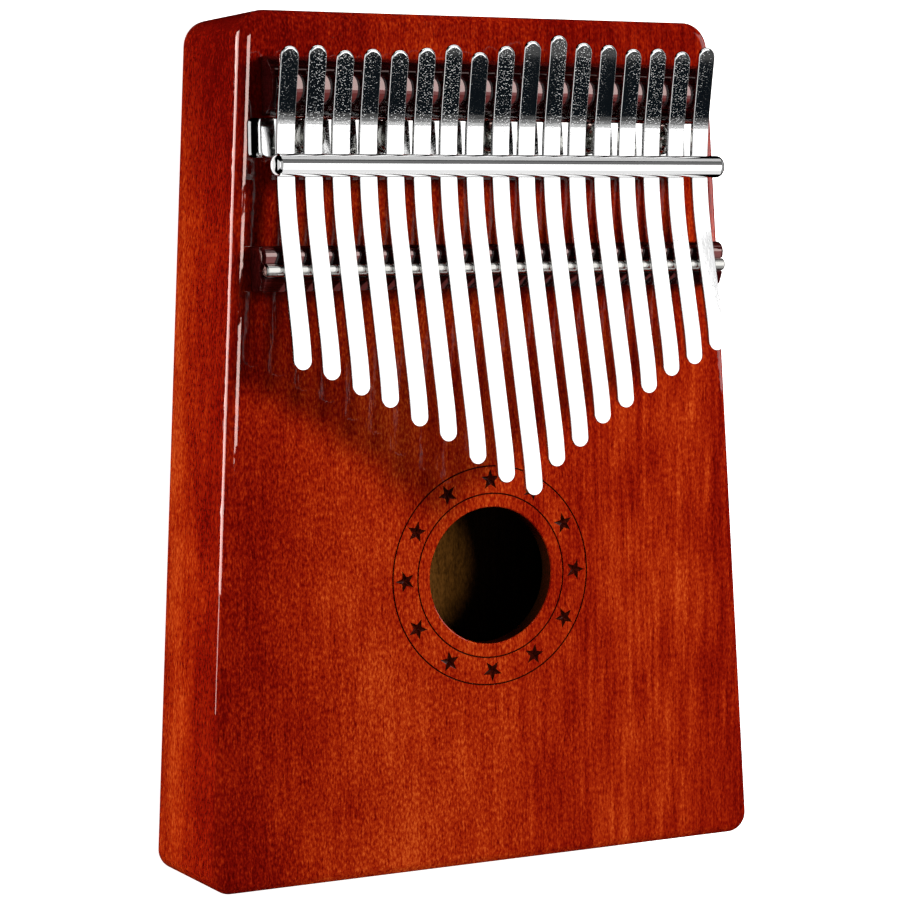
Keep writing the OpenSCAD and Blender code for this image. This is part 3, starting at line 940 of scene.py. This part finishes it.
def facing(name, low, high, toward, radiance, pieces, colour=WHITE):
    """A card in a plane of constant X, Y or Z between two corners, which only some pieces mirror."""
    low, high = Vector(low), Vector(high)
    spans = high - low
    flat = min(range(3), key=lambda axis: spans[axis])
    size = {0: (spans.y, spans.z), 1: (spans.x, spans.z), 2: (spans.x, spans.y)}[flat]
    middle = (low + high) / 2
    target = middle.copy()
    target[flat] += toward
    soft_light(name, middle, target, size, radiance, colour, diffuse=False, lights=pieces)


# Planes of the cards: overhead, behind and in front of the instrument, and at its right and left
OVERHEAD = 0.44
BEHIND = 0.50
BEFORE = -0.35
AT_RIGHT = 0.60
AT_LEFT = -0.50

# Corner of the white card that the tines, the plate and the screws mirror
CARD_LEFT = 0.03
CARD_FRONT = -0.009
CARD_REAR = 0.27


def wood_lights(box_pieces):
    """Light that shades the wood; only diffuse, so that it puts no veil on the lacquer."""
    soft_light("key", (0.45, 0.25, 0.80), (0, 0, FACE), (0.30, 0.30), 36.0, glossy=False)
    soft_light("fill", (-0.20, -0.50, 1.20), (0, 0, FACE), (1.2, 1.2), 0.22, glossy=False)
    soft_light("side_fill", (-0.90, 0.0, 0.07), (0, 0, 0.02), (0.9, 0.2), 10.0, glossy=False,
               lights=box_pieces)
    # What falls through the sound hole onto the inside of the back
    soft_light("hole_light", (0.27, 0.00, 1.00), (0, HOLE_Y, 0), (0.22, 0.30), 135.0, (1, 0.86, 0.45),
               glossy=False, lights=box_pieces[-1:])


def metal_cards(bar, rod, tines, plate, screws):
    """The white card over the instrument, and what the metal mirrors round it."""
    clamp = [plate, screws]
    card = (CARD_LEFT, CARD_FRONT, OVERHEAD)
    facing("plate_card", card, (0.35, CARD_REAR, OVERHEAD), -1, 1.7, clamp)
    facing("steel_card", card, (0.333, CARD_REAR, OVERHEAD), -1, 1.7, tines)
    # A dimmer end of the same card, which greys the bend of the last tine
    facing("card_end", (0.333, CARD_FRONT, OVERHEAD), (0.36, CARD_REAR, OVERHEAD), -1, 0.85, tines)
    # The card fades out toward the rear ends of the tines, which mirror a dark room beyond it
    for low_y, high_y, radiance in (
            (-0.017, CARD_FRONT, 0.55), (-0.025, -0.017, 0.20), (-0.034, -0.025, 0.07)):
        facing("steel_fade", (CARD_LEFT, low_y, OVERHEAD), (0.35, high_y, OVERHEAD), -1, radiance, tines)
    facing("steel_dim", (0, -0.16, OVERHEAD), (0.40, -0.034, OVERHEAD), -1, 0.008, tines, (0.5, 0.75, 1.0))
    facing("steel_left", (AT_LEFT, -0.30, 0.02), (AT_LEFT, 0.40, 0.85), 1, 0.75, tines + clamp + [bar, rod])
    facing("steel_rear", (-0.20, BEHIND, 0.05), (AT_RIGHT, BEHIND, OVERHEAD), -1, 1.3, tines)
    facing("steel_front", (-0.20, BEFORE, 0.05), (AT_RIGHT, BEFORE, OVERHEAD), 1, 1.3, tines)
    facing("steel_top_front", (0, BEFORE, OVERHEAD), (0.40, -0.16, OVERHEAD), -1, 1.3, tines)
    facing("metal_wide", (-0.45, BEFORE, OVERHEAD), (CARD_LEFT, 0.35, OVERHEAD), -1, 0.45,
           tines + [bar, rod, screws])
    facing("metal_right", (AT_RIGHT, BEFORE, 0.01), (AT_RIGHT, BEHIND, OVERHEAD), -1, 0.35,
           tines + clamp + [bar, rod])


def bar_cards(bar):
    """Cards round the pressure bar: white above and in front, beige behind, and one by its left end."""
    facing("bar_top", (0.05, BEFORE, OVERHEAD), (0.45, 0.17, OVERHEAD), -1, 1.5, [bar])
    facing("bar_gap", (0.05, 0.17, OVERHEAD), (0.45, BEHIND, OVERHEAD), -1, 0.16, [bar])
    facing("bar_front", (0.05, BEFORE, 0.04), (0.45, BEFORE, OVERHEAD), 1, 0.9, [bar])
    facing("bar_rear", (0.00, BEHIND, 0.03), (0.50, BEHIND, 0.34), -1, 0.62, [bar])
    on_face = FACE + 0.0005
    facing("bar_end", (-0.0615, 0.045, on_face), (-0.0545, 0.072, on_face), 1, 0.9, [bar])


def rod_cards(rod):
    front = -0.175
    facing("rod_top", (0.05, front, OVERHEAD), (0.50, BEHIND, OVERHEAD), -1, 1.5, [rod])
    facing("rod_front", (0.05, front, 0.04), (0.50, front, OVERHEAD), 1, 0.45, [rod])
    facing("rod_rear", (0.00, BEHIND, 0.04), (0.50, BEHIND, OVERHEAD), -1, 0.45, [rod])


def bridge_cards(bridge_pieces):
    """The patches on the crests of the bridges."""
    for low_y, high_y, radiance, colour in (
            (-0.02, 0.42, 11.0, (1, 0.74, 0.70)), (-0.12, -0.02, 4.0, (1, 0.42, 0.40)),
            (BEFORE, -0.12, 2.4, (1, 0.26, 0.24))):
        facing("bridge_card", (0.08, low_y, OVERHEAD), (0.36, high_y, OVERHEAD), -1, radiance,
               bridge_pieces, colour)
    facing("bridge_rear", (0.08, 0.42, 0.18), (0.36, 0.42, OVERHEAD), -1, 2.0,
           bridge_pieces, (1, 0.74, 0.70))
    facing("bridge_low", (0.04, BEFORE, 0.06), (0.36, BEFORE, OVERHEAD), 1, 1.8,
           bridge_pieces, (1, 0.22, 0.20))


EDGE_LIGHT_GAP = 0.009
EDGE_LIGHT_HEIGHT = 0.020


def edge_lights(edge, box_pieces):
    """Narrow lights that the lacquered edge mirrors as two bright lines down the left side."""
    outward = Vector((-math.cos(SIDE_LEAN), math.sin(SIDE_LEAN), 0))
    along = Vector((math.sin(SIDE_LEAN), math.cos(SIDE_LEAN), 0))
    for y, length, height, radiance in ((0.031, 0.122, 0.016, 10), (-0.043, 0.026, 0.006, 6)):
        middle = Vector((-half_width(0), 0, EDGE_LIGHT_HEIGHT)) + outward * EDGE_LIGHT_GAP + along * y
        soft_light("edge_strip", middle, middle - outward, (length, height), radiance, PINK, diffuse=False,
                   lights=[edge])
    for low_y, high_y in ((-0.020, 0.025), (0.042, 0.066), (0.074, 0.130)):
        facing("inner_strip", (-0.13, low_y, OVERHEAD), (0.101, high_y, OVERHEAD), -1, 15, [edge], PINK)
    facing("corner_patch", (0.103, 0.112, OVERHEAD), (0.112, 0.126, OVERHEAD), -1, 4, [edge], PINK)
    facing("right_card", (0.40, 0.00, 0.02), (0.40, 0.25, 0.40), -1, 2.0, box_pieces)


# ---------------------------------------------------------------- the whole instrument

lacquer, raw, burnt_and_painted_shade = lacquered_mahogany(), raw_mahogany_in_painted_shade(), burnt_and_painted_shade_mahogany()
stained = bridge_wood()
chrome = steel("bright_chrome", (0.84, 0.84, 0.84), (0.92, 0.92, 0.92), (60, 900, 900), 0.05)
nickel = steel("bright_nickel", (0.60, 0.60, 0.56), (0.76, 0.76, 0.72), (900, 900, 900), 0.14, 0.10)
drawn = steel("drawn_steel", (0.56, 0.55, 0.52), (0.72, 0.71, 0.68), (60, 1500, 1500), 0.16)
spring = steel("spring_steel", (0.86, 0.86, 0.86), (0.96, 0.96, 0.96), (1500, 60, 1500), 0.025, 0.12)

board, edge = soundboard(lacquer, raw, burnt_and_painted_shade), soundboard_edge(lacquer)
box_pieces = [board, edge, side_frame(lacquer, raw), back_panel(lacquer, raw)]
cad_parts["screw_block"].data.materials.clear()
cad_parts["screw_block"].data.materials.append(raw)
bridge_pieces = [rear_bridge(stained), front_bridge(stained)]
bar = round_rod("clamp_bar", "pressure_bar", "chrome", BAR_END_ROUND, chrome)
rod = round_rod("saddle_wire", "saddle_rod", "saddle_steel", ROD_END_ROUND, drawn)
plate, screws = clamp_plate(chrome), clamp_screws(nickel)
tines = [tine(k, spring) for k in range(1, TINE_COUNT + 1)]

make_camera()
make_floor()
make_world()
wood_lights(box_pieces)
metal_cards(bar, rod, tines, plate, screws)
bar_cards(bar)
rod_cards(rod)
bridge_cards(bridge_pieces)
edge_lights(edge, box_pieces)
scene.view_settings.view_transform = "Standard"
